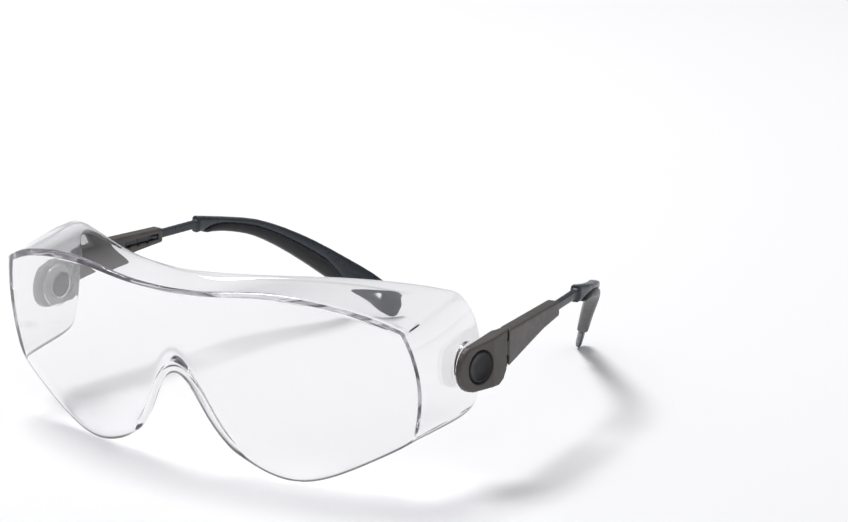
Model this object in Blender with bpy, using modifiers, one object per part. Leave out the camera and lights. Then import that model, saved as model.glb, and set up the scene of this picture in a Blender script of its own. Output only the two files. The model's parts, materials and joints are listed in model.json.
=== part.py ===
"""Over-the-glasses safety spectacles with telescoping, tilting temples.

Sizes below are millimetres. X runs to the wearer's left, Y rearward and Z up. The face
frame has y = 0 at the front of the lens on the middle plane and z = 0 at the lowest point
of the lens lobes; every object is then moved forward by DATUM_BACK, which puts the origin
at the bottom centre of the whole object's box.
"""

import math

import bmesh
import bpy
from mathutils import Matrix, Vector

MM = 0.001
NAME = "safety_glasses"

# Whole object
DATUM_BACK = 87.2  # from the lens front to the middle of the overall length

# Lens: front panel, brow shelf and side shields moulded in one piece
LENS_THICKNESS = 2.0
LENS_HALF_WIDTH = 69.2  # middle to the front corner
FRONT_SWEEP = 16.0  # how far the corner lies behind the middle
FRONT_LEAN = 0.176  # rearward travel per millimetre of drop
LEAN_TOP = 54.6  # height that the lean is measured from
FRONT_COLUMNS = (0.0, 4.6, 9.2, 14.0, 20.5, 28.0, 36.0, 44.0, 52.0, 60.0, 66.2, LENS_HALF_WIDTH)
TOP_EDGE = ((0, 54.3), (14, 55.0), (28, 56.9), (41, 57.0), (55, 54.6), (62, 52.6), (69.2, 48.9))
BOTTOM_EDGE = (
    (0, 28.2), (4.6, 24.8), (9.2, 14.6), (14, 7.8), (20.5, 3.2), (28, 0.3),
    (36, -1.0), (44, 1.1), (52, 5.0), (60, 9.5), (66.2, 13.2), (69.2, 15.2),
)
BROW_EDGE = (
    (0, 9.4, 58.4), (14, 11.0, 59.0), (28, 17.6, 59.0), (41, 26.2, 58.7),
    (55, 36.9, 57.2), (62, 43.2, 55.6), (69.2, 47.1, 54.0),
)
SIDE_EDGE = (
    (69.2, 47.1, 54.0), (71.0, 51.6, 47.8), (71.9, 53.8, 41.0),
    (72.6, 54.2, 33.5), (72.9, 53.4, 26.5), (72.3, 50.4, 17.9),
)
CORNER_BULGE = 3.2  # outward bow of the front corner halfway down
SIDE_BULGE = 0.6  # outward crown of the shield between its front and rear edges
PANEL_STEPS = (0.0, 0.13, 0.55, 1.0)  # rows of the shelf and columns of the side shield
FOLD_CREASE = 0.6
EDGE_ROW = 6.0  # first row of the front panel inside its top and bottom edges
NOSE_FLANGE = (1.8, 3.2)  # outward and rearward depth of the lip round the nose arch
NOSE_FLANGE_COLUMNS = 4  # columns that carry the flange at its full depth

# Pivot of the temple on the side shield; "out" is along the pivot axis
PIVOT = (73.2, 43.9, 33.6)  # where the axis meets the shield's outer face
PIVOT_TURN = 2.0  # degrees that the shield and the block flare outward to the rear
BOSS_RADIUS = 6.6
BOSS_IN, BOSS_OUT = -2.3, 0.25
LENS_BORE_RADIUS = 4.05
CAP_RADIUS, CAP_OUT, CAP_IN, CAP_BORE_IN = 3.75, 0.2, -2.9, -2.0
CAP_ROUND = ((0, 0.6), (0.15, 0.3), (0.5, 0.1))  # in from the rim, and out from the inner face
AXLE_RADIUS = 2.0
AXLE_IN, AXLE_OUT = -1.7, 2.95
AXLE_HEAD_RADIUS, AXLE_HEAD = 2.9, 0.45
AXLE_CHAMFER, AXLE_HEAD_ROUND = 0.4, 0.3
BORE_RADIUS = 2.3
RATCHET_RADIUS, RATCHET_DEPTH = 6.2, 0.45
RATCHET_IN, RATCHET_OUT = 0.5, 0.95
RATCHET_TEETH = 24
BLOCK_IN, BLOCK_OUT = 1.25, 5.4
HEAD_POCKET_RADIUS, HEAD_POCKET_IN = 3.3, 1.85
SPRING_RADIUS, SPRING_OUT, SPRING_IN = 2.9, 2.33, 2.13
SPRING_WAVE, SPRING_WAVES = 0.06, 3
BLOCK_TAPER = 10.0  # degrees that the block thins towards its nose
BLOCK_TAPER_BACK = 5.1  # where the thinning starts, back from the pivot
BUTTON_POCKET_RADIUS, BUTTON_POCKET_IN = 5.0, -1.0  # from the tapered face
BUTTON_RADIUS, BUTTON_IN, BUTTON_OUT, BUTTON_DISH = 4.7, -0.8, -0.1, 0.45
BUTTON_BOWL = ((0, 1.0), (0.45, 0.8), (0.75, 0.22), (0.89, 0))  # parts of the radius and depth
BUTTON_EDGE = 0.4  # height of the rounded rim

# Hinge block and fold hinge; (back, up) from the pivot
BLOCK_NOSE_RADIUS = 7.0
BLOCK_NOSE_FORWARD = 1.5  # of the nose's centre from the pivot
BLOCK_NOSE_END, BLOCK_NOSE_STEPS = 262.0, 9  # degrees, counted from straight back over the top
BLOCK_BEVEL = 0.55
BLOCK_TOP = 6.2, 8.4  # at the nose and at the hinge
BLOCK_BACK = 12.1
BLOCK_KEEL = ((8.2, -7.2), (10.4, -5.9), (12.0, -3.4))
HINGE_OUT = 3.3  # hinge pin's place between the block's faces
HINGE_RADIUS = 1.65
PIN_RADIUS = 0.7
PIN_TOP_GAP, PIN_END_GAP = 0.3, 0.1  # above the pin in its hole, and proud of it underneath
PIN_BORE_RADIUS = 1.0
HINGE_GAP = 0.15  # half of the slit between the block and the arm
KNUCKLE_LOW, KNUCKLE_HIGH = 0.4, 4.8  # heights of the arm's knuckle from the pivot
MITRE = 56.0  # degrees between each mitred face and the slit
MITRE_BEHIND = 1.0  # how far the wedges' cutters reach past the slit and the inner faces
KNUCKLE_LOWEST, KNUCKLE_HIGHEST = 0.4, -0.5  # of the block's knuckles, from its keel and its top
HINGE_ROOM = 0.3
PIN_DEPTH = 0.6  # of the pin's hole under the knuckle's top

# Arm: a flat sleeve from the hinge pin rearward; (back, up) from the pin at pivot height
ARM_TOE_IN = 8.0
ARM_LENGTH = 37.5
ARM_IN, ARM_OUT = -1.8, 2.1
ARM_BEVEL = 0.5
ARM_OUTLINE = (
    (0.15, -2.9), (6.5, -1.9), (16.0, -0.3), (26.0, 1.3), (ARM_LENGTH, 2.2),
    (ARM_LENGTH, 6.7), (0.15, 7.9),
)
CHANNEL_MIDDLE = (0.15, 4.4)  # (out, up) of the channel that the stem slides in
CHANNEL_WIDE, CHANNEL_HIGH = 2.5, 3.2
WINDOW_BACK, WINDOW_HIGH = 35.6, 1.8
NOTCH_PITCH, NOTCH_COUNT, NOTCH_SIZE = 4.0, 4, 1.0
NOTCH_FIRST = 1.5  # from the window's front end
SLIDE_TRAVEL = NOTCH_PITCH * (NOTCH_COUNT - 1)
SLIDE_CLEARANCE = 0.3

# Ear piece: stem, shoulder and curved paddle
STEM_WIDE, STEM_HIGH = 1.9, 2.6
STEM_FRONT = 19.8
SHOULDER_BACK = 53.4
TOOTH_LONG, TOOTH_HIGH = 2.2, 1.2
EAR_PATH = (  # (x, y, z), half width, half thickness
    (69.6, 109.2, 38.0, 2.75, 1.8),
    (68.7, 116.2, 37.0, 2.2, 1.8),
    (66.5, 124.2, 35.4, 2.1, 1.8),
    (62.9, 132.0, 33.2, 2.5, 1.8),
    (58.1, 140.0, 28.9, 3.1, 1.7),
    (52.5, 148.0, 23.1, 3.8, 1.6),
    (46.7, 156.3, 16.2, 4.4, 1.4),
    (41.1, 164.5, 9.5, 4.6, 1.2),
    (36.6, 171.0, 3.7, 4.0, 1.1),
)
EAR_EDGE_AIM = ((0.0, 0.0, 1.0), (-0.1, 0.62, 0.78))  # edge direction at the shoulder and tip
EAR_TIP = ((1.6, 0.85), (2.8, 0.5))  # reach past the path's end, and the section's shrinkage
EAR_STATIONS = 17
EAR_SIDES = 12
EAR_SQUARENESS = 0.6  # power that squares the section up: 1 is an ellipse
PAD_START, PAD_END = 0.06, 0.80  # along the paddle
PAD_RISE, PAD_FALL = 0.16, 0.12  # length that the pad takes to reach its full width
PAD_PART = 0.48  # of the paddle's width
PAD_INSET = 0.012  # of each end of the pad inside the paddle's recess
PAD_GAP = 0.3
PAD_PROUD = 0.1
LANYARD_AT, LANYARD_LONG, LANYARD_WIDE = 0.90, 8.0, 3.2
LANYARD_SIDES = 16

ROUND = 24  # sides of the visible round pieces
SMALL_ROUND = 16  # sides of the small round pieces
PIN_SIDES = 12
FAR = 9.0  # how far a cutter reaches past the piece it cuts


# ---------------------------------------------------------------- frames and helpers


def collection(name):
    """A new collection in the scene."""
    made = bpy.data.collections.new(name)
    bpy.context.scene.collection.children.link(made)
    return made


def finish(name, colour, roughness, metallic=0.0, transmission=0.0):
    """A plain material."""
    material = bpy.data.materials.new(name)
    material.use_nodes = True
    shader = material.node_tree.nodes["Principled BSDF"]
    shader.inputs["Base Color"].default_value = (*colour, 1.0)
    shader.inputs["Roughness"].default_value = roughness
    shader.inputs["Metallic"].default_value = metallic
    shader.inputs["Transmission Weight"].default_value = transmission
    return material


def pivot_frame():
    """Out, back and up at the left pivot, in the face frame."""
    return Matrix.Translation(PIVOT) @ Matrix.Rotation(math.radians(-PIVOT_TURN), 4, "Z")


def taper_frame():
    """Out, back and up on the block's tapered outer face, over the left pivot."""
    taper = math.radians(BLOCK_TAPER)
    over = BLOCK_OUT - BLOCK_TAPER_BACK * math.tan(taper)
    return pivot_frame() @ Matrix.Translation((over, 0, 0)) @ Matrix.Rotation(-taper, 4, "Z")


def arm_frame():
    """Out, back and up at the left hinge pin, at the pivot's height."""
    pin = pivot_frame() @ Vector((HINGE_OUT, BLOCK_BACK, 0))
    return Matrix.Translation(pin) @ Matrix.Rotation(math.radians(ARM_TOE_IN), 4, "Z")


def put(bm, name, where, frame, side, origin, material=None):
    """Turn a mesh made in a left-hand frame into an object on its own side.

    frame takes the mesh to the face frame; origin is the object's origin there.
    """
    mirror = Matrix.Diagonal((side, 1, 1, 1))
    centre = mirror @ Vector(origin)
    bmesh.ops.transform(bm, matrix=mirror @ frame, verts=bm.verts)
    if side < 0:
        bmesh.ops.reverse_faces(bm, faces=bm.faces)
    bmesh.ops.translate(bm, vec=-centre, verts=bm.verts)
    bmesh.ops.scale(bm, vec=(MM, MM, MM), verts=bm.verts)
    mesh = bpy.data.meshes.new(name)
    bm.to_mesh(mesh)
    bm.free()
    mesh.shade_smooth()
    mesh.set_sharp_from_angle(angle=math.radians(35))
    if material:
        mesh.materials.append(material)
    made = bpy.data.objects.new(name, mesh)
    made.location = (centre - Vector((0, DATUM_BACK, 0))) * MM
    where.objects.link(made)
    if where.name == "cutters":
        made.hide_render = True
        made.display_type = "WIRE"
    return made


def prism(outline, low, high, axis="out"):
    """An outline drawn across the axis and run from low to high along it.

    The outline is (back, up) for the out axis and (out, back) for the up axis.
    """
    bm = bmesh.new()
    if axis == "out":
        corners = [(low, back, up) for back, up in outline]
        travel = Vector((high - low, 0, 0))
    else:
        corners = [(out, back, low) for out, back in outline]
        travel = Vector((0, 0, high - low))
    face = bm.faces.new([bm.verts.new(corner) for corner in corners])
    grown = bmesh.ops.extrude_face_region(bm, geom=[face])["geom"]
    moved = [item for item in grown if isinstance(item, bmesh.types.BMVert)]
    bmesh.ops.translate(bm, vec=travel, verts=moved)
    bmesh.ops.recalc_face_normals(bm, faces=bm.faces)
    return bm


def block(low, high):
    """A box between two corners."""
    bm = bmesh.new()
    bmesh.ops.create_cube(bm, size=1)
    size = Vector(high) - Vector(low)
    middle = (Vector(high) + Vector(low)) / 2
    bmesh.ops.scale(bm, vec=size, verts=bm.verts)
    bmesh.ops.translate(bm, vec=middle, verts=bm.verts)
    return bm


def drum(radius, low, high, axis="out", at=(0, 0), sides=ROUND):
    """A cylinder between two places on the out or up axis."""
    bm = bmesh.new()
    bmesh.ops.create_cone(
        bm, cap_ends=True, segments=sides, radius1=radius, radius2=radius, depth=high - low
    )
    middle = (low + high) / 2
    if axis == "out":
        bmesh.ops.rotate(bm, verts=bm.verts, matrix=Matrix.Rotation(math.pi / 2, 3, "Y"))
        bmesh.ops.translate(bm, vec=(middle, at[0], at[1]), verts=bm.verts)
    else:
        bmesh.ops.translate(bm, vec=(at[0], at[1], middle), verts=bm.verts)
    return bm


def turned(profile, sides=ROUND):
    """A closed turned shape about the out axis, from (radius, out) points."""
    bm = bmesh.new()
    rings = []
    for radius, out in profile:
        if radius == 0:
            rings.append([bm.verts.new((out, 0, 0))] * sides)
            continue
        angles = [math.tau * k / sides for k in range(sides)]
        rings.append([
            bm.verts.new((out, radius * math.cos(a), radius * math.sin(a))) for a in angles
        ])
    join_rings(bm, rings, closed=profile[0][0] > 0)
    return bm


def join_rings(bm, rings, closed=False):
    """Skin a run of rings of equal count; a ring of one repeated vertex is a point."""
    pairs = list(zip(rings, rings[1:]))
    if closed:
        pairs.append((rings[-1], rings[0]))
    for first, second in pairs:
        for k in range(len(first)):
            n = (k + 1) % len(first)
            corners = [first[k], first[n], second[n], second[k]]
            bm.faces.new(list(dict.fromkeys(corners)))
    bmesh.ops.recalc_face_normals(bm, faces=bm.faces)


def through(points, at):
    """Read a smooth curve through points, whose first value is the distance along it."""
    last = len(points) - 2
    k = min(max(sum(p[0] <= at for p in points) - 1, 0), last)
    before, a, b, after = (points[i] for i in (max(k - 1, 0), k, k + 1, min(k + 2, last + 1)))
    span = b[0] - a[0]
    t = (at - a[0]) / span
    value = []
    for i in range(1, len(a)):
        start = (b[i] - before[i]) / (b[0] - before[0]) * span
        end = (after[i] - a[i]) / (after[0] - a[0]) * span
        value.append(
            (2 * t**3 - 3 * t**2 + 1) * a[i] + (t**3 - 2 * t**2 + t) * start
            + (3 * t**2 - 2 * t**3) * b[i] + (t**3 - t**2) * end
        )
    return value


def bevel(part, width, segments=2, angle=40):
    """Round the edges of a part."""
    rounding = part.modifiers.new("rounding", "BEVEL")
    rounding.width = width * MM
    rounding.segments = segments
    rounding.limit_method = "ANGLE"
    rounding.angle_limit = math.radians(angle)


def combine(part, tool, operation="DIFFERENCE"):
    """Cut a part with a tool, or join the tool to it."""
    step = part.modifiers.new(operation.lower(), "BOOLEAN")
    step.operation = operation
    step.solver = "EXACT"
    step.object = tool


# ---------------------------------------------------------------- lens


def front_back(x, z):
    """How far back the front panel's outer face lies."""
    return FRONT_SWEEP * (x / LENS_HALF_WIDTH) ** 2 + FRONT_LEAN * (LEAN_TOP - z)


def front_rows(low, high):
    """Heights of the front panel's rows in one column."""
    inner = high - low - 2 * EDGE_ROW
    thirds = [low + EDGE_ROW + inner * k / 3 for k in range(4)]
    return [low, *thirds, high]


def lens_surface():
    """The outer face of the lens's left half: front, nose flange, shelf and side shield."""
    bm = bmesh.new()
    bottom = dict(BOTTOM_EDGE)
    front = []
    for x in FRONT_COLUMNS:
        low, high = bottom[x], through(TOP_EDGE, x)[0]
        column = []
        for z in front_rows(low, high):
            t = (z - low) / (high - low)
            out = x + CORNER_BULGE * (x / LENS_HALF_WIDTH) ** 8 * 4 * t * (1 - t)
            column.append(bm.verts.new((out, front_back(out, z), z)))
        front.append(column)
    shelf = [[column[-1]] for column in front]
    for column, x in zip(shelf, FRONT_COLUMNS):
        rim_x = x * BROW_EDGE[-1][0] / LENS_HALF_WIDTH
        rim = Vector((rim_x, *through(BROW_EDGE, rim_x)))
        start = column[0].co.copy()
        column.extend(bm.verts.new(start.lerp(rim, step)) for step in PANEL_STEPS[1:])
    side = [front[-1]]
    shield = [(SIDE_EDGE[0][2] - z, x, y, z) for x, y, z in SIDE_EDGE]
    rear = [
        Vector(through(shield, shield[-1][0] * (1 - k / (len(front[-1]) - 1))))
        for k in range(len(front[-1]))
    ]
    for column, step in enumerate(PANEL_STEPS[1:], 1):
        bulge = Vector((4 * step * (1 - step) * SIDE_BULGE, 0, 0))
        made = [
            bm.verts.new(vertex.co.lerp(end, step) + bulge)
            for vertex, end in zip(front[-1][:-1], rear)
        ]
        side.append([*made, shelf[-1][column]])
    for grid in (front, side, shelf):
        quilt(bm, grid)
    nose_flange(bm, front)
    fold(bm, front[-1], FOLD_CREASE)
    fold(bm, [column[-1] for column in front], FOLD_CREASE)
    fold(bm, shelf[-1], FOLD_CREASE / 2)
    bmesh.ops.recalc_face_normals(bm, faces=bm.faces)
    return bm


def quilt(bm, grid):
    """Faces between neighbouring columns of a grid of vertices."""
    for left, right in zip(grid, grid[1:]):
        for low in range(len(left) - 1):
            bm.faces.new([left[low], right[low], right[low + 1], left[low + 1]])


def fold(bm, run, crease):
    """Tighten the bend along a run of vertices."""
    layer = bm.edges.layers.float.get("crease_edge") or bm.edges.layers.float.new("crease_edge")
    for a, b in zip(run, run[1:]):
        bm.edges.get((a, b))[layer] = crease


def nose_flange(bm, front):
    """A rearward flange along the nose arch, which dies out beside the nose."""
    edge = [column[0] for column in front[: NOSE_FLANGE_COLUMNS + 1]]
    lip = []
    for k, vertex in enumerate(edge[:-1]):
        before = edge[k - 1].co if k else Vector((-edge[1].co.x, 0, edge[1].co.z))
        along = edge[k + 1].co - before
        away = Vector((-along.z, 0, along.x)).normalized()
        reach = Vector((0, NOSE_FLANGE[1], 0)) + away * NOSE_FLANGE[0]
        lip.append(bm.verts.new(vertex.co + reach))
    lip.append(edge[-1])
    for k in range(len(lip) - 1):
        bm.faces.new(list(dict.fromkeys([edge[k], lip[k], lip[k + 1], edge[k + 1]])))


def make_lens(where, cutters, material):
    """The one-piece lens with its pivot bosses and bores."""
    lens = put(lens_surface(), "visor_lens", where, Matrix(), 1, (0, 0, 0), material)
    mirror = lens.modifiers.new("both_sides", "MIRROR")
    mirror.merge_threshold = 0.0001
    shell = lens.modifiers.new("wall", "SOLIDIFY")
    shell.thickness = LENS_THICKNESS * MM
    shell.offset = -1
    shell.use_even_offset = True
    smooth = lens.modifiers.new("smooth", "SUBSURF")
    smooth.levels = 1
    smooth.render_levels = 1
    for side, name in ((1, "left"), (-1, "right")):
        boss = put(
            drum(BOSS_RADIUS, BOSS_IN, BOSS_OUT), f"{name}_boss", cutters, pivot_frame(), side, PIVOT
        )
        combine(lens, boss, "UNION")
        bore = put(
            drum(LENS_BORE_RADIUS, -FAR, FAR), f"{name}_lens_bore", cutters, pivot_frame(), side, PIVOT
        )
        combine(lens, bore)


# ---------------------------------------------------------------- pivot pieces


def make_pivot(where, side, name, materials):
    """The axle, ratchet ring, wave spring and inner cap that stay with the lens."""
    frame = pivot_frame()
    head_in = AXLE_OUT - AXLE_HEAD
    axle = turned([
        (0, AXLE_OUT), (AXLE_HEAD_RADIUS - AXLE_CHAMFER, AXLE_OUT),
        (AXLE_HEAD_RADIUS, AXLE_OUT - AXLE_HEAD_ROUND),
        (AXLE_HEAD_RADIUS, head_in), (AXLE_RADIUS, head_in),
        (AXLE_RADIUS, AXLE_IN + AXLE_CHAMFER), (AXLE_RADIUS - AXLE_CHAMFER, AXLE_IN), (0, AXLE_IN),
    ], SMALL_ROUND)
    put(axle, f"{name}_pivot_axle", where, frame, side, PIVOT, materials["steel"])
    put(ratchet_ring(), f"{name}_ratchet_ring", where, frame, side, PIVOT, materials["grey"])
    put(wave_spring(), f"{name}_wave_spring", where, frame, side, PIVOT, materials["steel"])
    cap = turned([
        (0, CAP_BORE_IN), (BORE_RADIUS, CAP_BORE_IN), (BORE_RADIUS, CAP_OUT),
        (CAP_RADIUS, CAP_OUT), *((CAP_RADIUS - cut, CAP_IN + up) for cut, up in CAP_ROUND),
        (0, CAP_IN),
    ])
    put(cap, f"{name}_inner_cap", where, frame, side, PIVOT, materials["mauve"])


def ratchet_ring():
    """A flat ring whose serrated rim gives the tilt its clicks."""
    count = RATCHET_TEETH * 2
    radii = [RATCHET_RADIUS - RATCHET_DEPTH * (k % 2) for k in range(count)]
    angles = [math.tau * k / count for k in range(count)]
    bm = bmesh.new()
    rings = []
    for radius_of, out in (
        (lambda k: BORE_RADIUS, RATCHET_OUT), (lambda k: radii[k], RATCHET_OUT),
        (lambda k: radii[k], RATCHET_IN), (lambda k: BORE_RADIUS, RATCHET_IN),
    ):
        rings.append([
            bm.verts.new((out, radius_of(k) * math.cos(a), radius_of(k) * math.sin(a)))
            for k, a in enumerate(angles)
        ])
    join_rings(bm, rings, closed=True)
    return bm


def wave_spring():
    """A thin washer with waves round it."""
    bm = bmesh.new()
    rings = []
    for radius, out in (
        (BORE_RADIUS, SPRING_OUT), (SPRING_RADIUS, SPRING_OUT),
        (SPRING_RADIUS, SPRING_IN), (BORE_RADIUS, SPRING_IN),
    ):
        ring = []
        for k in range(ROUND):
            a = math.tau * k / ROUND
            wave = SPRING_WAVE * math.cos(SPRING_WAVES * a)
            ring.append(bm.verts.new((out + wave, radius * math.cos(a), radius * math.sin(a))))
        rings.append(ring)
    join_rings(bm, rings, closed=True)
    return bm


# ---------------------------------------------------------------- hinge block


def block_outline():
    """Side view of the hinge block: a round nose, a flat top and a keel at the hinge."""
    radius = BLOCK_NOSE_RADIUS
    start = math.pi - math.asin(BLOCK_TOP[0] / radius)
    end = math.radians(BLOCK_NOSE_END)
    arc = [start + (end - start) * k / BLOCK_NOSE_STEPS for k in range(BLOCK_NOSE_STEPS + 1)]
    nose = [(radius * math.cos(a) - BLOCK_NOSE_FORWARD, radius * math.sin(a)) for a in arc]
    back = BLOCK_BACK - HINGE_GAP
    return [*nose, *BLOCK_KEEL[:-1], (back, BLOCK_KEEL[-1][1]), (back, BLOCK_TOP[1])]


def mitre_cut(reach, backward):
    """Plan outline (out, back) of the wedge taken off one side of the fold hinge."""
    slope = math.tan(math.radians(MITRE))
    run = reach * slope
    behind = -backward * MITRE_BEHIND
    return [(0.0, 0.0), (-reach, backward * run), (-reach, behind), (0, behind)]


def make_hinge_block(where, cutters, side, name, materials):
    """The block that tilts on the lens and carries the fold hinge."""
    frame = pivot_frame()
    body = put(
        prism(block_outline(), BLOCK_IN, BLOCK_OUT), f"{name}_hinge_block",
        where, frame, side, PIVOT, materials["taupe"],
    )
    taper_back = BLOCK_TAPER_BACK / math.cos(math.radians(BLOCK_TAPER))
    cut = block((0, -2 * FAR, -FAR), (FAR, taper_back, FAR))
    combine(body, put(cut, f"{name}_block_taper", cutters, taper_frame(), side, PIVOT))
    bevel(body, BLOCK_BEVEL)
    reach = HINGE_OUT - BLOCK_IN + MITRE_BEHIND
    hinge = frame @ Matrix.Translation((HINGE_OUT, BLOCK_BACK - HINGE_GAP, 0))
    tools = [
        (drum(BORE_RADIUS, 0, FAR), "axle_bore", frame, "DIFFERENCE"),
        (drum(HEAD_POCKET_RADIUS, HEAD_POCKET_IN, FAR), "head_pocket", frame, "DIFFERENCE"),
        (drum(BUTTON_POCKET_RADIUS, BUTTON_POCKET_IN, FAR), "button_pocket", taper_frame(),
         "DIFFERENCE"),
        (prism(mitre_cut(reach, -1), -2 * FAR, FAR, "up"), "block_mitre", hinge, "DIFFERENCE"),
    ]
    at = (HINGE_OUT, BLOCK_BACK)
    low = BLOCK_KEEL[-1][1] + KNUCKLE_LOWEST
    high = BLOCK_TOP[1] + KNUCKLE_HIGHEST
    pin_top = high - PIN_DEPTH
    room = KNUCKLE_LOW - HINGE_ROOM, KNUCKLE_HIGH + HINGE_ROOM
    tools += [
        (drum(HINGE_RADIUS, low, high, "up", at, SMALL_ROUND), "block_knuckles", frame, "UNION"),
        (drum(PIN_BORE_RADIUS, low - FAR, pin_top, "up", at, PIN_SIDES), "pin_bore", frame,
         "DIFFERENCE"),
        (drum(HINGE_RADIUS + HINGE_ROOM, *room, "up", at, ROUND), "arm_knuckle_room", frame,
         "DIFFERENCE"),
    ]
    for mesh, tool, place, operation in tools:
        cutter = put(mesh, f"{name}_{tool}", cutters, place, side, PIVOT)
        combine(body, cutter, operation)
    button = turned([
        *((BUTTON_RADIUS * part, BUTTON_OUT - BUTTON_DISH * depth) for part, depth in BUTTON_BOWL),
        (BUTTON_RADIUS, BUTTON_OUT - BUTTON_EDGE), (BUTTON_RADIUS, BUTTON_IN), (0, BUTTON_IN),
    ])
    put(button, f"{name}_pivot_button", where, taper_frame(), side, PIVOT, materials["black"])
    pin = drum(PIN_RADIUS, low - PIN_END_GAP, pin_top - PIN_TOP_GAP, "up", at, PIN_SIDES)
    origin = frame @ Vector((HINGE_OUT, BLOCK_BACK, 0))
    put(pin, f"{name}_hinge_pin", where, frame, side, origin, materials["steel"])


# ---------------------------------------------------------------- temple arm


def make_arm(where, cutters, side, name, materials):
    """The sleeve that folds on the block and holds the sliding stem."""
    frame = arm_frame()
    origin = frame @ Vector((0, 0, 0))
    arm = put(
        prism(ARM_OUTLINE, ARM_IN, ARM_OUT), f"{name}_temple_arm",
        where, frame, side, origin, materials["taupe"],
    )
    bevel(arm, ARM_BEVEL)
    out, up = CHANNEL_MIDDLE
    channel = block(
        (out - CHANNEL_WIDE / 2, STEM_FRONT - SLIDE_TRAVEL - 2 * SLIDE_CLEARANCE, up - CHANNEL_HIGH / 2),
        (out + CHANNEL_WIDE / 2, ARM_LENGTH + 2, up + CHANNEL_HIGH / 2),
    )
    reach = MITRE_BEHIND - ARM_IN
    hinge = frame @ Matrix.Translation((0, HINGE_GAP, 0))
    tools = [
        (channel, "channel", frame, "DIFFERENCE"),
        (window(), "window", frame, "DIFFERENCE"),
        (prism(mitre_cut(reach, 1), -2 * FAR, FAR, "up"), "arm_mitre", hinge, "DIFFERENCE"),
        (drum(HINGE_RADIUS, KNUCKLE_LOW - 1, KNUCKLE_HIGH + 1, "up", (0, 0), SMALL_ROUND),
         "arm_knuckle", frame, "UNION"),
        (drum(HINGE_RADIUS + HINGE_ROOM, -FAR, KNUCKLE_LOW, "up", (0, 0), SMALL_ROUND),
         "low_room", frame, "DIFFERENCE"),
        (drum(HINGE_RADIUS + HINGE_ROOM, KNUCKLE_HIGH, FAR, "up", (0, 0), SMALL_ROUND),
         "top_room", frame, "DIFFERENCE"),
        (drum(PIN_BORE_RADIUS, -FAR, FAR, "up", (0, 0), PIN_SIDES), "arm_pin_bore", frame,
         "DIFFERENCE"),
    ]
    for mesh, tool, place, operation in tools:
        cutter = put(mesh, f"{name}_{tool}", cutters, place, side, origin)
        combine(arm, cutter, operation)


def window():
    """The slot in the arm's inner face, with square notches along its lower edge."""
    up = CHANNEL_MIDDLE[1]
    low, high = up - WINDOW_HIGH / 2, up + WINDOW_HIGH / 2
    front = WINDOW_BACK - TOOTH_LONG - SLIDE_TRAVEL - 2 * SLIDE_CLEARANCE
    outline = [(WINDOW_BACK, low), (WINDOW_BACK, high), (front, high), (front, low)]
    for k in range(NOTCH_COUNT - 1):
        start = front + NOTCH_FIRST + NOTCH_PITCH * k
        outline += [
            (start, low), (start, low - NOTCH_SIZE / 2),
            (start + NOTCH_SIZE, low - NOTCH_SIZE / 2), (start + NOTCH_SIZE, low),
        ]
    return prism(outline, ARM_IN - 1, CHANNEL_MIDDLE[0])


# ---------------------------------------------------------------- ear piece


def ear_station(t):
    """Centre, edge direction, face direction, half width and half thickness at t, 0 to 1."""
    last = len(EAR_PATH) - 1
    run = [(k / last, *row) for k, row in enumerate(EAR_PATH)]
    x, y, z, wide, thick = through(run, t)
    step = 0.01
    ahead = Vector(through(run, min(t + step, 1))[:3])
    behind = Vector(through(run, max(t - step, 0))[:3])
    along = (ahead - behind).normalized()
    aim = Vector(EAR_EDGE_AIM[0]).lerp(Vector(EAR_EDGE_AIM[1]), t)
    edge = (aim - along * aim.dot(along)).normalized()
    face = edge.cross(along).normalized()
    return Vector((x, y, z)), edge, face, wide, thick


def section(centre, edge, face, low, high, thick):
    """A rounded rectangle from low to high along edge, and thick to each side along face."""
    middle = (low + high) / 2
    half = (high - low) / 2
    ring = []
    for k in range(EAR_SIDES):
        a = math.tau * (k + 0.5) / EAR_SIDES
        c, s = math.cos(a), math.sin(a)
        across = math.copysign(abs(c) ** EAR_SQUARENESS, c) * half
        through_face = math.copysign(abs(s) ** EAR_SQUARENESS, s) * thick
        ring.append(centre + edge * (middle + across) + face * through_face)
    return ring


def loft(stations):
    """Skin a run of sections and close both ends."""
    bm = bmesh.new()
    rings = [[bm.verts.new(point) for point in ring] for ring in stations]
    join_rings(bm, rings)
    bm.faces.new(rings[0])
    bm.faces.new(rings[-1])
    bmesh.ops.recalc_face_normals(bm, faces=bm.faces)
    return bm


def pad_width(t):
    """The pad's width at t: it rounds off at both ends."""
    if not PAD_START < t < PAD_END:
        return 0.0
    ends = min((t - PAD_START) / PAD_RISE, (PAD_END - t) / PAD_FALL, 1.0)
    wide = ear_station(t)[3]
    return 2 * wide * PAD_PART * math.sin(ends * math.pi / 2)


def ear_sections():
    """Sections of the hard paddle, from the shoulder to the rounded tip."""
    rings = []
    for k in range(EAR_STATIONS):
        t = k / (EAR_STATIONS - 1)
        centre, edge, face, wide, thick = ear_station(t)
        soft = pad_width(t)
        low = -wide + soft + (PAD_GAP if soft else 0)
        rings.append(section(centre, edge, face, low, wide, thick))
    centre, edge, face, wide, thick = ear_station(1.0)
    along = face.cross(edge).normalized()
    if along.z > 0:
        along = -along
    for reach, shrink in EAR_TIP:
        rings.append(section(
            centre + along * reach, edge, face, -wide * shrink, wide * shrink, thick * shrink
        ))
    return rings


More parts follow.
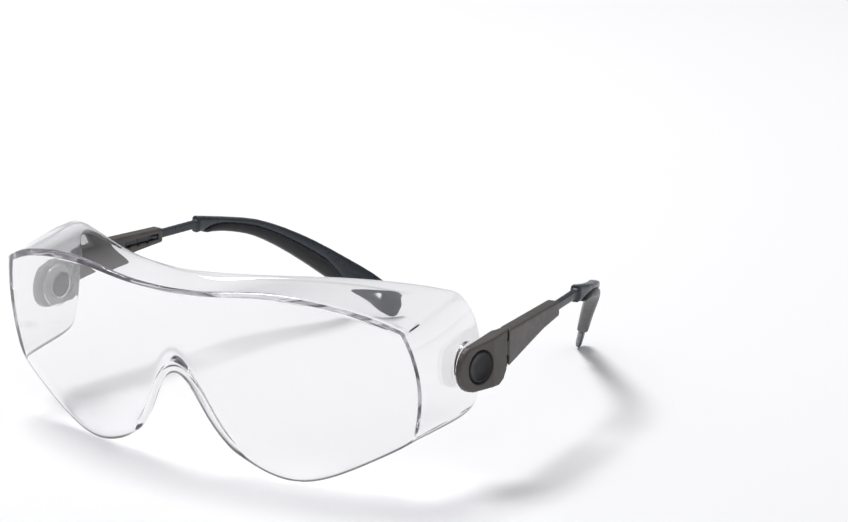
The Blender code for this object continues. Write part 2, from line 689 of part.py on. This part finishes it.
def make_ear_piece(where, cutters, side, name, materials):
    """The hard stem and paddle, and the soft pad on its lower edge."""
    frame = arm_frame()
    origin = frame @ Vector((CHANNEL_MIDDLE[0], ARM_LENGTH, CHANNEL_MIDDLE[1]))
    paddle = put(
        loft(ear_sections()), f"{name}_ear_stem", where, Matrix(), side, origin,
        materials["slate"],
    )
    out, up = CHANNEL_MIDDLE
    stem = block(
        (out - STEM_WIDE / 2, STEM_FRONT, up - STEM_HIGH / 2),
        (out + STEM_WIDE / 2, SHOULDER_BACK + 1.0, up + STEM_HIGH / 2),
    )
    tooth_back = WINDOW_BACK - SLIDE_CLEARANCE
    tooth = block(
        (ARM_IN + 0.1, tooth_back - TOOTH_LONG, up - TOOTH_HIGH / 2),
        (out, tooth_back, up + TOOTH_HIGH / 2),
    )
    combine(paddle, put(stem, f"{name}_stem_bar", cutters, frame, side, origin), "UNION")
    combine(paddle, put(tooth, f"{name}_stem_tooth", cutters, frame, side, origin), "UNION")
    combine(paddle, put(lanyard_hole(), f"{name}_lanyard_hole", cutters, Matrix(), side, origin))

    put(
        loft(pad_sections()), f"{name}_ear_pad", where, Matrix(), side, origin,
        materials["rubber"],
    )


def pad_sections():
    """Sections of the soft pad, which fills the recess along the paddle's lower edge."""
    rings = []
    length = PAD_END - PAD_START - 2 * PAD_INSET
    for k in range(EAR_STATIONS):
        t = PAD_START + PAD_INSET + length * k / (EAR_STATIONS - 1)
        centre, edge, face, wide, thick = ear_station(t)
        rings.append(section(
            centre, edge, face, -wide, -wide + pad_width(t), thick + PAD_PROUD
        ))
    return rings


def lanyard_hole():
    """The long hole near the tip, as a rounded bar through the paddle."""
    centre, edge, face, _, _ = ear_station(LANYARD_AT)
    along = face.cross(edge).normalized()
    half = (LANYARD_LONG - LANYARD_WIDE) / 2
    ring = []
    for k in range(LANYARD_SIDES):
        a = math.tau * (k + 0.5) / LANYARD_SIDES
        shift = math.copysign(half, math.cos(a))
        offset = along * (shift + LANYARD_WIDE / 2 * math.cos(a))
        ring.append(centre + offset + edge * (LANYARD_WIDE / 2 * math.sin(a)))
    return loft([[p - face * FAR for p in ring], [p + face * FAR for p in ring]])


# ---------------------------------------------------------------- build


def main():
    for item in list(bpy.data.objects):
        bpy.data.objects.remove(item, do_unlink=True)
    parts = collection(NAME)
    cutters = collection("cutters")
    materials = {
        "clear": finish("clear_lens", (0.93, 0.93, 0.95), 0.03, 0.0, 1.0),
        "taupe": finish("taupe_plastic", (0.145, 0.132, 0.122), 0.42),
        "slate": finish("slate_plastic", (0.045, 0.054, 0.066), 0.38),
        "black": finish("black_plastic", (0.012, 0.012, 0.014), 0.45),
        "mauve": finish("mauve_plastic", (0.22, 0.19, 0.22), 0.35),
        "grey": finish("grey_acetal", (0.30, 0.29, 0.29), 0.4),
        "rubber": finish("soft_rubber", (0.016, 0.017, 0.018), 0.7),
        "steel": finish("steel", (0.62, 0.62, 0.62), 0.28, 1.0),
    }
    make_lens(parts, cutters, materials["clear"])
    for side, name in ((1, "left"), (-1, "right")):
        make_pivot(parts, side, name, materials)
        make_hinge_block(parts, cutters, side, name, materials)
        make_arm(parts, cutters, side, name, materials)
        make_ear_piece(parts, cutters, side, name, materials)


main()
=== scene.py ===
"""Looks of the over-the-glasses safety spectacles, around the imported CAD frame.

Sizes in the lens section are millimetres in the face frame: X to the wearer's left, Y
rearward from the lens front, Z up. Everything else is metres in the row frame, whose
origin lies DATUM_BACK behind the lens front.
"""

import json
import math

import bmesh
import bpy
import numpy as np
from mathutils import Matrix, Vector

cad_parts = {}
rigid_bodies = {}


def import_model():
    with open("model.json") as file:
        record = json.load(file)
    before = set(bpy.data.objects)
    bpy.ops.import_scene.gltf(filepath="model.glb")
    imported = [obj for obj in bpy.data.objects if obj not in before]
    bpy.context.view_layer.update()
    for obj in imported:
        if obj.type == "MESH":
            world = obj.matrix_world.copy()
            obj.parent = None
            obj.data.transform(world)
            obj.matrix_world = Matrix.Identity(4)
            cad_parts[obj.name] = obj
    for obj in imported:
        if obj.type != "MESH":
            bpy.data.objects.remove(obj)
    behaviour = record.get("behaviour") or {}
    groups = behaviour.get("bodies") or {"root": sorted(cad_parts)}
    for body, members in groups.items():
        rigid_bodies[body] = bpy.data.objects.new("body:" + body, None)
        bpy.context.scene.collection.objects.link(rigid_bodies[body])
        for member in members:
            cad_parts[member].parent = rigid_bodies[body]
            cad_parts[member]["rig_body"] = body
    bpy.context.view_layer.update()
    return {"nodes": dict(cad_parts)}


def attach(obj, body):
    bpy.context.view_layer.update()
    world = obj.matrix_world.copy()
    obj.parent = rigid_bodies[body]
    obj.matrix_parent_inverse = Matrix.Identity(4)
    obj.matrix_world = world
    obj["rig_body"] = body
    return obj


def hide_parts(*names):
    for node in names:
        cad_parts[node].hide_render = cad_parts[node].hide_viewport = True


MM = 0.001
DATUM_BACK = 87.2
SIDES = (("left", 1), ("right", -1))  # each side's name and the sign of its X

# Lens: the sizes that drive the CAD model. Points along an edge are (x, z) or (x, y, z).
LENS_THICKNESS = 2.0
LENS_HALF_WIDTH = 69.2
FRONT_SWEEP = 16.0
FRONT_LEAN = 0.176
LEAN_TOP = 54.6
FRONT_COLUMNS = (0.0, 4.6, 9.2, 14.0, 20.5, 28.0, 36.0, 44.0, 52.0, 60.0, 66.2, LENS_HALF_WIDTH)
TOP_EDGE = ((0, 54.3), (14, 55.0), (28, 56.9), (41, 57.0), (55, 54.6), (62, 52.6), (69.2, 48.9))
BOTTOM_EDGE = (
    (0, 28.2), (4.6, 24.8), (9.2, 14.6), (14, 7.8), (20.5, 3.2), (28, 0.3),
    (36, -1.0), (44, 1.1), (52, 5.0), (60, 9.5), (66.2, 13.2), (69.2, 15.2),
)
BROW_EDGE = (
    (0, 9.4, 58.4), (14, 11.0, 59.0), (28, 17.6, 59.0), (41, 26.2, 58.7),
    (55, 36.9, 57.2), (62, 43.2, 55.6), (69.2, 47.1, 54.0),
)
SIDE_EDGE = (
    (69.2, 47.1, 54.0), (71.0, 51.6, 47.8), (71.9, 53.8, 41.0),
    (72.6, 54.2, 33.5), (72.9, 53.4, 26.5), (72.3, 50.4, 17.9),
)
CORNER_BULGE, CORNER_BULGE_POWER = 3.2, 8
SIDE_BULGE = 0.6
PANEL_STEPS = (0.0, 0.13, 0.55, 1.0)  # where columns lie across the shelf and side shield
EDGE_ROW = 6.0
NOSE_FLANGE_AWAY, NOSE_FLANGE_BACK = 1.8, 3.2
NOSE_FLANGE_COLUMNS = 4
PIVOT = (73.2, 43.9, 33.6)
PIVOT_TURN = 2.0  # degrees about Z
BOSS_RADIUS, BOSS_IN, BOSS_OUT = 6.6, -2.3, 0.25  # in and out along the pivot's axis
LENS_BORE_RADIUS, LENS_BORE_REACH = 4.05, 9

# Finish of the lens mesh: how sharply it folds along the front panel's edges and along the
# top of the side shield, from 0 to 1, and how finely it is divided
FOLD_CREASE = 0.85
SIDE_FOLD_CREASE = 0.92
LENS_LEVELS = 3
MERGE_DISTANCE = 0.0001  # metres, at the middle of the mirrored lens
DRUM_SIDES = 64
SHARP_ANGLE = math.radians(40)

# Smoothed plastic pieces: voxel size in metres and number of smoothing passes
HOUSING_FINISH = (0.00022, 6)
EAR_FINISH = (0.0003, 10)
PAD_FINISH = (0.0003, 12)
DISC_FINISH = (0.00015, 4)
PAD_SWELL = 0.0004  # how far the soft pad's surface stands out past its CAD solid
BOWL_RADIUS, BOWL_DEPTH = 0.0041, 0.0004  # pressed into the buttons' outer faces

# Colours: dark and light for the mottled plastics
TAUPE = ((0.080, 0.073, 0.067), (0.097, 0.089, 0.082))
SLATE = ((0.025, 0.031, 0.039), (0.034, 0.041, 0.051))
BLACK = ((0.006, 0.006, 0.007), (0.011, 0.011, 0.013))
MAUVE = ((0.048, 0.036, 0.049), (0.070, 0.055, 0.073))
ACETAL = ((0.27, 0.26, 0.26), (0.34, 0.33, 0.33))
RUBBER = ((0.013, 0.0135, 0.0145), (0.021, 0.022, 0.0235))
RUBBER_DUST = (0.09, 0.09, 0.09)
STEEL, STEEL_STAIN = (0.66, 0.66, 0.67), (0.5, 0.49, 0.48)
CLEAR_SURFACE = (0.93, 0.93, 0.934)
CLEAR_BODY, CLEAR_BODY_DENSITY = (0.62, 0.585, 0.65), 28.0  # density per metre
CLEAR_SHADOW = (0.79, 0.788, 0.795)
FLOOR_WHITE = (0.93, 0.93, 0.93)

# Light that runs inside the lens's walls to its edges turns many times before it leaves
GLASS_BOUNCES = 24

# Sky: brightness at each height, as the sine of the elevation
SKY = ((0.0, 1.0), (0.08, 0.8), (0.17, 0.11), (0.36, 0.13), (0.66, 0.70))
SKY_BLUE = 1.04
SKY_STRENGTH = 0.79

# Softboxes, which point at the origin: name, place, size and power in watts
LIGHTS = (("key", (-0.62, 0.16, 1.50), 0.55, 18.0), ("front", (0.9, -1.5, 1.1), 1.0, 2.6))

FLOOR_SIZE = 6.0
FLOOR_DROP = 0.0002

# Camera: CAMERA_BACK is the direction from the spectacles towards it
CAMERA_PLACE = (0.53565, -0.79077, 0.30934)
CAMERA_BACK = (0.5183, -0.8116, 0.2694)
CAMERA_ROLL = 0.0096
CAMERA_LENS, CAMERA_SENSOR = 140.1, 36.0
CAMERA_NEAR = 0.05


# ---------------------------------------------------------------- node material helpers


class Shader:
    """A material and short calls that add nodes to it."""

    def __init__(self, name):
        self.material = bpy.data.materials.new(name)
        self.material.use_nodes = True
        self.tree = self.material.node_tree
        self.principled = self.tree.nodes["Principled BSDF"]
        self.output = self.tree.nodes["Material Output"]
        self.place = self.node("ShaderNodeTexCoord").outputs["Object"]

    def node(self, kind, **values):
        made = self.tree.nodes.new(kind)
        for key, value in values.items():
            setattr(made, key, value)
        return made

    def link(self, source, target):
        self.tree.links.new(source, target)

    def set(self, **values):
        """Plain numbers and colours on the Principled node's own sockets."""
        for key, value in values.items():
            self.principled.inputs[key.replace("_", " ")].default_value = value

    def noise(self, scale, detail=3.0, roughness=0.5, distortion=0.0, stretch=None):
        """Noise in the object's own metres; scale is in cells per metre."""
        made = self.node("ShaderNodeTexNoise")
        made.inputs["Scale"].default_value = scale
        made.inputs["Detail"].default_value = detail
        made.inputs["Roughness"].default_value = roughness
        made.inputs["Distortion"].default_value = distortion
        place = self.place
        if stretch:
            mapping = self.node("ShaderNodeMapping")
            mapping.inputs["Scale"].default_value = stretch
            self.link(place, mapping.inputs["Vector"])
            place = mapping.outputs["Vector"]
        self.link(place, made.inputs["Vector"])
        return made.outputs["Fac"]

    def cells(self, scale):
        """Distance to the nearest cell centre of a fine stipple."""
        made = self.node("ShaderNodeTexVoronoi")
        made.inputs["Scale"].default_value = scale
        self.link(self.place, made.inputs["Vector"])
        return made.outputs["Distance"]

    def spread(self, source, low, high, start=0.0, end=1.0):
        """Map a value from start..end to low..high."""
        made = self.node("ShaderNodeMapRange")
        made.inputs["From Min"].default_value = start
        made.inputs["From Max"].default_value = end
        made.inputs["To Min"].default_value = low
        made.inputs["To Max"].default_value = high
        self.link(source, made.inputs["Value"])
        return made.outputs["Result"]

    def mix(self, factor, first, second):
        """Mix two colours by a value; a colour is a tuple or a socket."""
        made = self.node("ShaderNodeMix", data_type="RGBA")
        self.link(factor, made.inputs["Factor"])
        for value, socket in ((first, made.inputs[6]), (second, made.inputs[7])):
            if isinstance(value, tuple):
                socket.default_value = (*value, 1.0)
            else:
                self.link(value, socket)
        return made.outputs[2]

    def bump(self, height, strength, distance, under=None):
        """A normal bumped by a value; distance is in metres, and under is a bump below it."""
        made = self.node("ShaderNodeBump")
        made.inputs["Strength"].default_value = strength
        made.inputs["Distance"].default_value = distance
        self.link(height, made.inputs["Height"])
        if under:
            self.link(under, made.inputs["Normal"])
        return made.outputs["Normal"]


def moulded(name, colours, roughness, specular=0.32):
    """Satin moulded plastic: fine spark-eroded grain, flow marks and light flecks."""
    shader = Shader(name)
    dark, light = colours
    flow = shader.noise(scale=70, detail=4, roughness=0.55, distortion=0.6)
    mottle = shader.spread(flow, low=0, high=1, start=0.35, end=0.68)
    speck = shader.noise(scale=1500, detail=2, roughness=0.6)
    flecks = shader.spread(speck, low=0, high=0.35, start=0.62, end=0.75)
    colour = shader.mix(flecks, shader.mix(mottle, dark, light), tuple(c * 1.25 for c in light))
    shader.link(colour, shader.principled.inputs["Base Color"])
    rough = shader.noise(scale=420, detail=4, roughness=0.6)
    rough = shader.spread(rough, roughness - 0.06, roughness + 0.1, start=0.3, end=0.7)
    shader.link(rough, shader.principled.inputs["Roughness"])
    shader.set(IOR=1.5, Specular_IOR_Level=specular)
    grains = shader.bump(shader.cells(2600), strength=0.35, distance=0.000015)
    waves = shader.bump(flow, strength=0.25, distance=0.00004, under=grains)
    shader.link(waves, shader.principled.inputs["Normal"])
    return shader.material


def soft_rubber():
    """Matt soft-touch rubber with a fine stipple and faint dust."""
    shader = Shader("soft_rubber_look")
    broad = shader.noise(scale=110, detail=3, roughness=0.5)
    mottle = shader.spread(broad, low=0, high=1, start=0.35, end=0.65)
    dust = shader.noise(scale=900, detail=4, roughness=0.65)
    dust = shader.spread(dust, low=0, high=0.3, start=0.64, end=0.78)
    colour = shader.mix(dust, shader.mix(mottle, *RUBBER), RUBBER_DUST)
    shader.link(colour, shader.principled.inputs["Base Color"])
    rough = shader.spread(broad, low=0.44, high=0.60, start=0.3, end=0.7)
    shader.link(rough, shader.principled.inputs["Roughness"])
    shader.set(Sheen_Weight=0.35, Sheen_Roughness=0.4)
    stipple = shader.bump(shader.cells(2100), strength=0.5, distance=0.00006)
    shader.link(stipple, shader.principled.inputs["Normal"])
    return shader.material


def turned_steel():
    """Bright steel with fine turning lines and a little staining."""
    shader = Shader("steel_look")
    stain = shader.noise(scale=500, detail=3, roughness=0.6)
    stain = shader.spread(stain, low=0, high=1, start=0.4, end=0.7)
    shader.link(shader.mix(stain, STEEL, STEEL_STAIN), shader.principled.inputs["Base Color"])
    lines = shader.noise(scale=900, detail=3, roughness=0.5, stretch=(14, 1, 1))
    rough = shader.spread(lines, low=0.2, high=0.42, start=0.3, end=0.7)
    shader.link(rough, shader.principled.inputs["Roughness"])
    turned = shader.bump(lines, strength=0.2, distance=0.00003)
    shader.link(turned, shader.principled.inputs["Normal"])
    shader.set(Metallic=1.0)
    return shader.material


def clear_polycarbonate():
    """Polished clear lens: wipe marks, moulding ripple and a body that greys its edges.

    A shadow ray passes straight through, so the lens casts a light shadow.
    """
    shader = Shader("clear_polycarbonate")
    wipe = shader.noise(scale=300, detail=3, roughness=0.6, distortion=0.4, stretch=(0.25, 1, 1.6))
    rough = shader.spread(wipe, low=0.0, high=0.045, start=0.45, end=0.8)
    shader.link(rough, shader.principled.inputs["Roughness"])
    ripple = shader.noise(scale=26, detail=2, roughness=0.4)
    ripple = shader.bump(ripple, strength=0.06, distance=0.0006)
    shader.link(ripple, shader.principled.inputs["Normal"])
    shader.set(
        Base_Color=(*CLEAR_SURFACE, 1.0), IOR=1.585, Transmission_Weight=1.0,
        Coat_Weight=0.25, Coat_Roughness=0.02,
    )
    inside = shader.node("ShaderNodeVolumeAbsorption")
    inside.inputs["Color"].default_value = (*CLEAR_BODY, 1.0)
    inside.inputs["Density"].default_value = CLEAR_BODY_DENSITY
    shader.link(inside.outputs["Volume"], shader.output.inputs["Volume"])
    clear = shader.node("ShaderNodeBsdfTransparent")
    clear.inputs["Color"].default_value = (*CLEAR_SHADOW, 1.0)
    path = shader.node("ShaderNodeLightPath")
    choose = shader.node("ShaderNodeMixShader")
    shader.link(path.outputs["Is Shadow Ray"], choose.inputs[0])
    shader.link(shader.principled.outputs["BSDF"], choose.inputs[1])
    shader.link(clear.outputs["BSDF"], choose.inputs[2])
    shader.link(choose.outputs["Shader"], shader.output.inputs["Surface"])
    return shader.material


# ---------------------------------------------------------------- lens


def through(points, at):
    """Read a smooth curve through points, whose first value is the distance along it."""
    last = len(points) - 2
    k = min(max(sum(p[0] <= at for p in points) - 1, 0), last)
    before, a, b, after = (points[i] for i in (max(k - 1, 0), k, k + 1, min(k + 2, last + 1)))
    span = b[0] - a[0]
    t = (at - a[0]) / span
    value = []
    for i in range(1, len(a)):
        start = (b[i] - before[i]) / (b[0] - before[0]) * span
        end = (after[i] - a[i]) / (after[0] - a[0]) * span
        value.append(
            (2 * t**3 - 3 * t**2 + 1) * a[i] + (t**3 - 2 * t**2 + t) * start
            + (3 * t**2 - 2 * t**3) * b[i] + (t**3 - t**2) * end
        )
    return value


def hump(t):
    """0 at both ends and 1 in the middle."""
    return 4 * t * (1 - t)


def front_back(x, z):
    """How far back the front panel's outer face lies."""
    return FRONT_SWEEP * (x / LENS_HALF_WIDTH) ** 2 + FRONT_LEAN * (LEAN_TOP - z)


def front_rows(low, high):
    """Heights of the front panel's rows in one column."""
    inner = high - low - 2 * EDGE_ROW
    middle = [low + EDGE_ROW + inner * k / 3 for k in range(4)]
    return [low, *middle, high]


def quilt(bm, grid):
    """Faces between neighbouring columns of a grid of vertices."""
    for left, right in zip(grid, grid[1:]):
        for low in range(len(left) - 1):
            bm.faces.new([left[low], right[low], right[low + 1], left[low + 1]])


def fold(bm, run, crease):
    """Tighten the bend along a run of vertices."""
    layer = bm.edges.layers.float.get("crease_edge") or bm.edges.layers.float.new("crease_edge")
    for a, b in zip(run, run[1:]):
        bm.edges.get((a, b))[layer] = crease


def front_panel(bm):
    """Columns of the front panel, from the middle to the corner."""
    bottom = dict(BOTTOM_EDGE)
    front = []
    for x in FRONT_COLUMNS:
        low, high = bottom[x], through(TOP_EDGE, x)[0]
        column = []
        for z in front_rows(low, high):
            t = (z - low) / (high - low)
            share = (x / LENS_HALF_WIDTH) ** CORNER_BULGE_POWER * hump(t)
            out = x + CORNER_BULGE * share
            column.append(bm.verts.new((out, front_back(out, z), z)))
        front.append(column)
    return front


def brow_shelf(bm, front):
    """Columns of the shelf, from the front panel's top edge rearward."""
    shelf = [[column[-1]] for column in front]
    for column, x in zip(shelf, FRONT_COLUMNS):
        rim_x = x * BROW_EDGE[-1][0] / LENS_HALF_WIDTH
        rim = Vector((rim_x, *through(BROW_EDGE, rim_x)))
        start = column[0].co.copy()
        column.extend(bm.verts.new(start.lerp(rim, step)) for step in PANEL_STEPS[1:])
    return shelf


def side_shield(bm, corner, shelf_end):
    """Columns of the side shield, from the front corner rearward."""
    side = [corner]
    shield = [(SIDE_EDGE[0][2] - z, x, y, z) for x, y, z in SIDE_EDGE]
    last = len(corner) - 1
    rear = [Vector(through(shield, shield[-1][0] * (1 - k / last))) for k in range(last + 1)]
    for column, step in enumerate(PANEL_STEPS[1:], 1):
        bulge = Vector((hump(step) * SIDE_BULGE, 0, 0))
        made = [
            bm.verts.new(vertex.co.lerp(end, step) + bulge)
            for vertex, end in zip(corner[:-1], rear)
        ]
        side.append([*made, shelf_end[column]])
    return side


def nose_flange(bm, front):
    """A rearward flange along the nose arch, which dies out beside the nose."""
    edge = [column[0] for column in front[: NOSE_FLANGE_COLUMNS + 1]]
    lip = []
    for k, vertex in enumerate(edge[:-1]):
        before = edge[k - 1].co if k else Vector((-edge[1].co.x, 0, edge[1].co.z))
        along = edge[k + 1].co - before
        away = Vector((-along.z, 0, along.x)).normalized()
        reach = Vector((0, NOSE_FLANGE_BACK, 0)) + away * NOSE_FLANGE_AWAY
        lip.append(bm.verts.new(vertex.co + reach))
    lip.append(edge[-1])
    for k in range(len(lip) - 1):
        bm.faces.new(list(dict.fromkeys([edge[k], lip[k], lip[k + 1], edge[k + 1]])))


def lens_surface():
    """The outer face of the lens's left half: front, nose flange, shelf and side shield."""
    bm = bmesh.new()
    front = front_panel(bm)
    shelf = brow_shelf(bm, front)
    side = side_shield(bm, front[-1], shelf[-1])
    for grid in (front, side, shelf):
        quilt(bm, grid)
    nose_flange(bm, front)
    fold(bm, front[-1], FOLD_CREASE)
    fold(bm, [column[-1] for column in front], FOLD_CREASE)
    fold(bm, shelf[-1], SIDE_FOLD_CREASE)
    bmesh.ops.recalc_face_normals(bm, faces=bm.faces)
    return bm


def pivot_drum(radius, low, high, sign):
    """A cylinder about one pivot's axis, for cutting and joining; sign is its side."""
    bm = bmesh.new()
    bmesh.ops.create_cone(
        bm, cap_ends=True, segments=DRUM_SIDES, radius1=radius, radius2=radius, depth=high - low
    )
    bmesh.ops.rotate(bm, verts=bm.verts, matrix=Matrix.Rotation(math.pi / 2, 3, "Y"))
    bmesh.ops.translate(bm, verts=bm.verts, vec=((low + high) / 2, 0, 0))
    turn = Matrix.Rotation(math.radians(-PIVOT_TURN), 4, "Z")
    bmesh.ops.transform(bm, verts=bm.verts, matrix=Matrix.Translation(PIVOT) @ turn)
    if sign < 0:
        bmesh.ops.transform(bm, verts=bm.verts, matrix=Matrix.Diagonal((-1, 1, 1, 1)))
        bmesh.ops.reverse_faces(bm, faces=bm.faces)
    return settle(bm, "pivot_tool")


def settle(bm, name):
    """A mesh in face-frame millimetres as an object in row-frame metres."""
    bmesh.ops.translate(bm, verts=bm.verts, vec=(0, -DATUM_BACK, 0))
    bmesh.ops.scale(bm, verts=bm.verts, vec=(MM, MM, MM))
    mesh = bpy.data.meshes.new(name)
    bm.to_mesh(mesh)
    bm.free()
    made = bpy.data.objects.new(name, mesh)
    bpy.context.scene.collection.objects.link(made)
    return made


def bake(piece):
    """Replace a piece's mesh with what its modifiers make of it."""
    bpy.context.view_layer.update()
    evaluated = piece.evaluated_get(bpy.context.evaluated_depsgraph_get())
    mesh = bpy.data.meshes.new_from_object(evaluated)
    piece.modifiers.clear()
    piece.data = mesh


def combine(piece, tool, operation):
    """Join a tool to a piece or cut the piece with it, and drop the tool."""
    step = piece.modifiers.new("combine", "BOOLEAN")
    step.operation = operation
    step.solver = "EXACT"
    step.object = tool
    bake(piece)
    bpy.data.objects.remove(tool)


def make_visor(material):
    """The one-piece lens, with its bosses and bores."""
    visor = settle(lens_surface(), "clear_visor")
    mirror = visor.modifiers.new("both_sides", "MIRROR")
    mirror.merge_threshold = MERGE_DISTANCE
    shell = visor.modifiers.new("wall", "SOLIDIFY")
    shell.thickness = LENS_THICKNESS * MM
    shell.offset = -1
    shell.use_even_offset = True
    smooth = visor.modifiers.new("smooth", "SUBSURF")
    smooth.levels = LENS_LEVELS
    smooth.render_levels = LENS_LEVELS
    bake(visor)
    for _, sign in SIDES:
        boss = pivot_drum(BOSS_RADIUS, BOSS_IN, BOSS_OUT, sign)
        combine(visor, boss, "UNION")
        bore = pivot_drum(LENS_BORE_RADIUS, -LENS_BORE_REACH, LENS_BORE_REACH, sign)
        combine(visor, bore, "DIFFERENCE")
    visor.data.materials.clear()
    visor.data.materials.append(material)
    visor.data.shade_smooth()
    visor.data.set_sharp_from_angle(angle=SHARP_ANGLE)
    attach(visor, "lens")
    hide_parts("visor_lens")


# ---------------------------------------------------------------- plastic pieces


def soften(node, name, material, finish, swell=0.0):
    """A copy of a CAD node with its edges rounded as a mould leaves them."""
    voxel, passes = finish
    source = frame["nodes"][node]
    body = source["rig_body"]
    piece = bpy.data.objects.new(name, source.data.copy())
    bpy.context.scene.collection.objects.link(piece)
    remesh = piece.modifiers.new("remesh", "REMESH")
    remesh.mode = "VOXEL"
    remesh.voxel_size = voxel
    flatten = piece.modifiers.new("flatten", "SHRINKWRAP")
    flatten.wrap_method = "NEAREST_SURFACEPOINT"
    flatten.target = source
    round_off = piece.modifiers.new("round_off", "SMOOTH")
    round_off.factor = 0.5
    round_off.iterations = passes
    if swell:
        grow = piece.modifiers.new("swell", "DISPLACE")
        grow.mid_level = 0.0
        grow.strength = swell
    bake(piece)
    piece.data.materials.clear()
    piece.data.materials.append(material)
    piece.data.shade_smooth()
    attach(piece, body)
    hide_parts(node)
    return piece


def deepen(piece, sign):
    """Press the middle of a disc's outer face into a bowl; its back stays flat.

    The disc's axis is the direction in which its points spread least, turned outward.
    """
    points = np.array([vertex.co for vertex in piece.data.vertices])
    offset = points - points.mean(axis=0)
    axis = np.linalg.svd(offset, full_matrices=False)[2][2]
    axis *= sign * np.sign(axis[0])
    height = offset @ axis
    radius = np.linalg.norm(offset - np.outer(height, axis), axis=1)
    share = np.clip(1 - (radius / BOWL_RADIUS) ** 2, 0, 1)
    share *= (height - height.min()) / np.ptp(height)
    points -= np.outer(BOWL_DEPTH * share, axis)
    piece.data.vertices.foreach_set("co", points.ravel())
    piece.data.update()


def dress(node, material):
    """Give a CAD node that stays as it is a new material."""
    piece = frame["nodes"][node]
    piece.data.materials.clear()
    piece.data.materials.append(material)


# ---------------------------------------------------------------- stage


def make_floor():
    """A plain white floor that runs far past the view."""
    bm = bmesh.new()
    bmesh.ops.create_grid(bm, x_segments=1, y_segments=1, size=FLOOR_SIZE)
    mesh = bpy.data.meshes.new("floor")
    bm.to_mesh(mesh)
    bm.free()
    floor = bpy.data.objects.new("floor", mesh)
    floor.location.z = -FLOOR_DROP
    bpy.context.scene.collection.objects.link(floor)
    shader = Shader("white_floor")
    shader.set(Base_Color=(*FLOOR_WHITE, 1.0), Roughness=0.9, Specular_IOR_Level=0.1)
    mesh.materials.append(shader.material)


def area_light(name, place, size, power):
    """A square softbox at place, pointing at the origin."""
    light = bpy.data.lights.new(name, "AREA")
    light.shape = "SQUARE"
    light.size = size
    light.energy = power
    made = bpy.data.objects.new(name, light)
    made.location = place
    made.rotation_euler = (-Vector(place)).to_track_quat("-Z", "Y").to_euler()
    bpy.context.scene.collection.objects.link(made)


def make_world():
    """A pale studio: bright low down and overhead, and dim between, which clear edges show."""
    world = bpy.data.worlds.new("studio")
    world.use_nodes = True
    tree = world.node_tree
    place = tree.nodes.new("ShaderNodeTexCoord")
    split = tree.nodes.new("ShaderNodeSeparateXYZ")
    ramp = tree.nodes.new("ShaderNodeValToRGB")
    for position, grey in SKY:
        stop = ramp.color_ramp.elements.new(position)
        stop.color = (grey, grey, grey * SKY_BLUE, 1)
    # The ramp's own first and last stops go
    ramp.color_ramp.elements.remove(ramp.color_ramp.elements[-1])
    ramp.color_ramp.elements.remove(ramp.color_ramp.elements[0])
    tree.links.new(place.outputs["Generated"], split.inputs[0])
    tree.links.new(split.outputs["Z"], ramp.inputs["Fac"])
    background = tree.nodes["Background"]
    tree.links.new(ramp.outputs["Color"], background.inputs["Color"])
    background.inputs["Strength"].default_value = SKY_STRENGTH
    bpy.context.scene.world = world


def make_camera():
    """The view from the wearer's front left, a little above."""
    camera = bpy.data.cameras.new("view")
    camera.lens = CAMERA_LENS
    camera.sensor_width = CAMERA_SENSOR
    camera.clip_start = CAMERA_NEAR
    made = bpy.data.objects.new("view", camera)
    back = Vector(CAMERA_BACK).normalized()
    right = Vector((0, 0, 1)).cross(back).normalized()
    up = back.cross(right)
    turn = Matrix((right, up, back)).transposed().to_4x4()
    roll = Matrix.Rotation(CAMERA_ROLL, 4, "Z")
    made.matrix_world = Matrix.Translation(CAMERA_PLACE) @ turn @ roll
    bpy.context.scene.collection.objects.link(made)
    bpy.context.scene.camera = made


# ---------------------------------------------------------------- build


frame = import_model()

make_camera()
make_floor()
bpy.context.scene.view_settings.view_transform = "Standard"
bpy.context.scene.cycles.max_bounces = GLASS_BOUNCES
bpy.context.scene.cycles.glossy_bounces = GLASS_BOUNCES
bpy.context.scene.cycles.transmission_bounces = GLASS_BOUNCES
make_world()
for light in LIGHTS:
    area_light(*light)

taupe = moulded("taupe_look", TAUPE, roughness=0.38)
slate = moulded("slate_look", SLATE, roughness=0.30, specular=0.5)
black = moulded("black_look", BLACK, roughness=0.30)
mauve = moulded("mauve_look", MAUVE, roughness=0.20)
acetal = moulded("acetal_look", ACETAL, roughness=0.38)
rubber = soft_rubber()
steel = turned_steel()

make_visor(clear_polycarbonate())
for side, sign in SIDES:
    soften(f"{side}_hinge_block", f"{side}_block_body", taupe, HOUSING_FINISH)
    soften(f"{side}_temple_arm", f"{side}_sleeve", taupe, HOUSING_FINISH)
    soften(f"{side}_ear_stem", f"{side}_temple_tip", slate, EAR_FINISH)
    pad = soften(
        f"{side}_ear_pad", f"{side}_soft_pad", rubber, PAD_FINISH, PAD_SWELL
    )
    button = soften(
        f"{side}_pivot_button", f"{side}_dished_button", black, DISC_FINISH
    )
    deepen(button, sign)
    soften(f"{side}_inner_cap", f"{side}_bore_cap", mauve, DISC_FINISH)
    dress(f"{side}_ratchet_ring", acetal)
    for node in ("pivot_axle", "wave_spring", "hinge_pin"):
        dress(f"{side}_{node}", steel)
